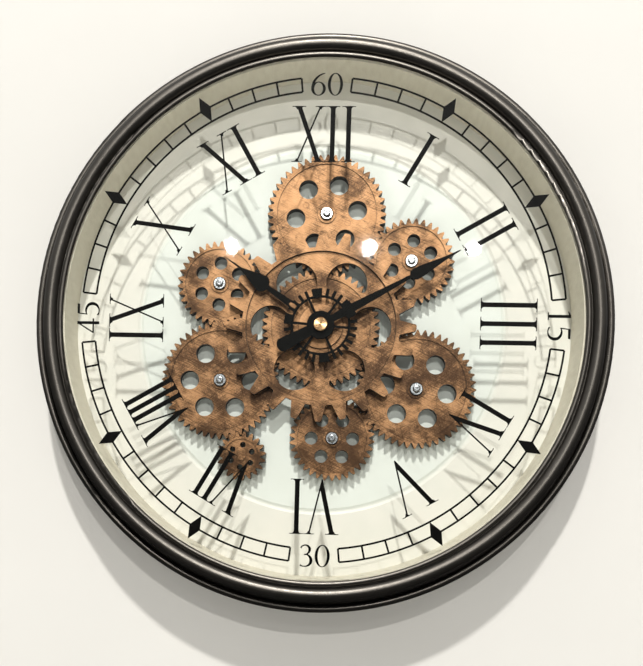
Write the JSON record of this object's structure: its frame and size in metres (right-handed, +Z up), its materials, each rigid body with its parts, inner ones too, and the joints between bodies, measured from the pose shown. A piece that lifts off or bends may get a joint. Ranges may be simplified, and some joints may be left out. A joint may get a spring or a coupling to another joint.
{
  "type": "wall clock",
  "caption": "Round glazed wall clock with a deep dark rim, Roman hours printed on the glass, and an open train of copper gears turning behind two black hands.",
  "frame": {"origin": "on the axis of the hands, in the plane of the wall behind the clock", "axes": "+Y into the wall, +Z up, +X to the right of somebody facing the clock; the face looks along -Y"},
  "size_m": [0.6, 0.098, 0.6],
  "materials": {
    "rim_paint": "dark gunmetal, semi-gloss",
    "clear_glass": "clear, polished",
    "black_foam": "matt",
    "print_ink": "black screen print",
    "cream_paint": "warm cream, satin",
    "plate_paint": "off-white, satin",
    "copper_face": "moulded plastic with brushed copper paint",
    "plated_steel": "bright zinc plate",
    "bush_brass": "turned",
    "hand_paint": "matt black",
    "cap_brass": "turned, polished",
    "white_acetal": "natural",
    "case_plastic": "black, fine texture",
    "grey_plastic": "dark grey, fine texture",
    "copper_coil": "enamelled wire",
    "circuit_green": "solder mask",
    "cell_sleeve": "printed sleeve, plain",
    "steel_sheet": "zinc plated",
    "red_slider": "plain"
  },
  "bodies": {
    "case": {"rim": "rim_paint", "glass": "clear_glass", "glass_gasket": "black_foam", "dial_print": "print_ink", "side_drum": "cream_paint", "back_plate": "plate_paint", "plate_screws": "plated_steel", "centre_bush": "bush_brass", "wheel_retainer": "plated_steel", "movement_nut": "bush_brass", "gear_studs": "plated_steel", "stud_washers": "plated_steel", "stud_screws": "plated_steel", "stud_back_screws": "plated_steel", "movement_case": "case_plastic", "movement_cover": "case_plastic", "movement_coil": "copper_coil", "movement_circuit": "circuit_green", "movement_cell": "cell_sleeve", "movement_contacts": "steel_sheet", "drive_case": "grey_plastic", "drive_cover": "grey_plastic", "drive_switch_body": "case_plastic", "drive_cells": "cell_sleeve", "drive_contacts": "steel_sheet", "motor": "steel_sheet", "hanger_bracket": "steel_sheet", "stud_nuts": "plated_steel"},
    "central_wheel": {"centre_wheel": "copper_face", "sun_gear": "copper_face"},
    "large_top": {"large_gear_top": "copper_face"},
    "large_right": {"large_gear_right": "copper_face"},
    "large_left": {"large_gear_left": "copper_face"},
    "medium_right": {"medium_gear_right": "copper_face"},
    "medium_bottom": {"medium_gear_bottom": "copper_face"},
    "medium_left": {"medium_gear_left": "copper_face"},
    "drive_output": {"drive_pinion": "copper_face", "output_wheel": "white_acetal"},
    "reduction": {"reduction_wheel": "white_acetal"},
    "motor_rotor": {"motor_pinion": "bush_brass"},
    "minute": {"minute_hand": "hand_paint", "minute_arbor": "bush_brass", "hand_cap": "cap_brass"},
    "hour": {"hour_hand": "hand_paint", "hour_tube": "bush_brass"},
    "setting": {"minute_wheel": "white_acetal", "setting_knob": "case_plastic"},
    "switch": {"drive_switch": "red_slider"},
    "door": {"battery_door": "grey_plastic"}
  },
  "joints": [
    {"name": "central_wheel_spin", "type": "hinge", "parent": "case", "child": "central_wheel", "pos_m": [0, -0.05, 0], "axis": [0, 1, 0], "continuous": true},
    {"name": "large_top_spin", "type": "hinge", "parent": "case", "child": "large_top", "pos_m": [0.00314, -0.043, 0.11996], "axis": [0, 1, 0], "continuous": true},
    {"name": "large_right_spin", "type": "hinge", "parent": "case", "child": "large_right", "pos_m": [0.10232, -0.043, -0.0627], "axis": [0, 1, 0], "continuous": true},
    {"name": "large_left_spin", "type": "hinge", "parent": "case", "child": "large_left", "pos_m": [-0.10546, -0.043, -0.05726], "axis": [0, 1, 0], "continuous": true},
    {"name": "medium_right_spin", "type": "hinge", "parent": "case", "child": "medium_right", "pos_m": [0.09337, -0.043, 0.07133], "axis": [0, 1, 0], "continuous": true},
    {"name": "medium_bottom_spin", "type": "hinge", "parent": "case", "child": "medium_bottom", "pos_m": [0.01509, -0.043, -0.11653], "axis": [0, 1, 0], "continuous": true},
    {"name": "medium_left_spin", "type": "hinge", "parent": "case", "child": "medium_left", "pos_m": [-0.10846, -0.043, 0.0452], "axis": [0, 1, 0], "continuous": true},
    {"name": "drive_output_spin", "type": "hinge", "parent": "case", "child": "drive_output", "pos_m": [-0.08069, -0.04, -0.13726], "axis": [0, 1, 0], "continuous": true},
    {"name": "reduction_spin", "type": "hinge", "parent": "case", "child": "reduction", "pos_m": [-0.09869, -0.027, -0.13726], "axis": [0, 1, 0], "continuous": true},
    {"name": "motor_spin", "type": "hinge", "parent": "case", "child": "motor_rotor", "pos_m": [-0.11669, -0.025, -0.13726], "axis": [0, 1, 0], "continuous": true},
    {"name": "minute_spin", "type": "hinge", "parent": "case", "child": "minute", "pos_m": [0, -0.065, 0], "axis": [0, 1, 0], "continuous": true},
    {"name": "hour_spin", "type": "hinge", "parent": "case", "child": "hour", "pos_m": [0, -0.06, 0], "axis": [0, 1, 0], "continuous": true},
    {"name": "setting_spin", "type": "hinge", "parent": "case", "child": "setting", "pos_m": [0.01039, -0.02, 0.006], "axis": [0, 1, 0], "continuous": true},
    {"name": "switch_slide", "type": "slide", "parent": "case", "child": "switch", "axis": [1, 0, 0], "range_m": [0, 0.004]},
    {"name": "door_slide", "type": "slide", "parent": "case", "child": "door", "axis": [0, 0, -1], "range_m": [0, 0.036]}
  ],
  "couplings": [
    {"joint": "large_top_spin", "follows": "central_wheel_spin", "ratio": -1},
    {"joint": "large_right_spin", "follows": "central_wheel_spin", "ratio": -1},
    {"joint": "large_left_spin", "follows": "central_wheel_spin", "ratio": -1},
    {"joint": "medium_right_spin", "follows": "central_wheel_spin", "ratio": 1.4118},
    {"joint": "medium_bottom_spin", "follows": "central_wheel_spin", "ratio": 1.4118},
    {"joint": "medium_left_spin", "follows": "central_wheel_spin", "ratio": 1.4118},
    {"joint": "drive_output_spin", "follows": "central_wheel_spin", "ratio": 2.5263},
    {"joint": "reduction_spin", "follows": "central_wheel_spin", "ratio": -12.632},
    {"joint": "motor_spin", "follows": "central_wheel_spin", "ratio": 63.158},
    {"joint": "hour_spin", "follows": "minute_spin", "ratio": 0.083333},
    {"joint": "setting_spin", "follows": "minute_spin", "ratio": -0.33333}
  ]
}
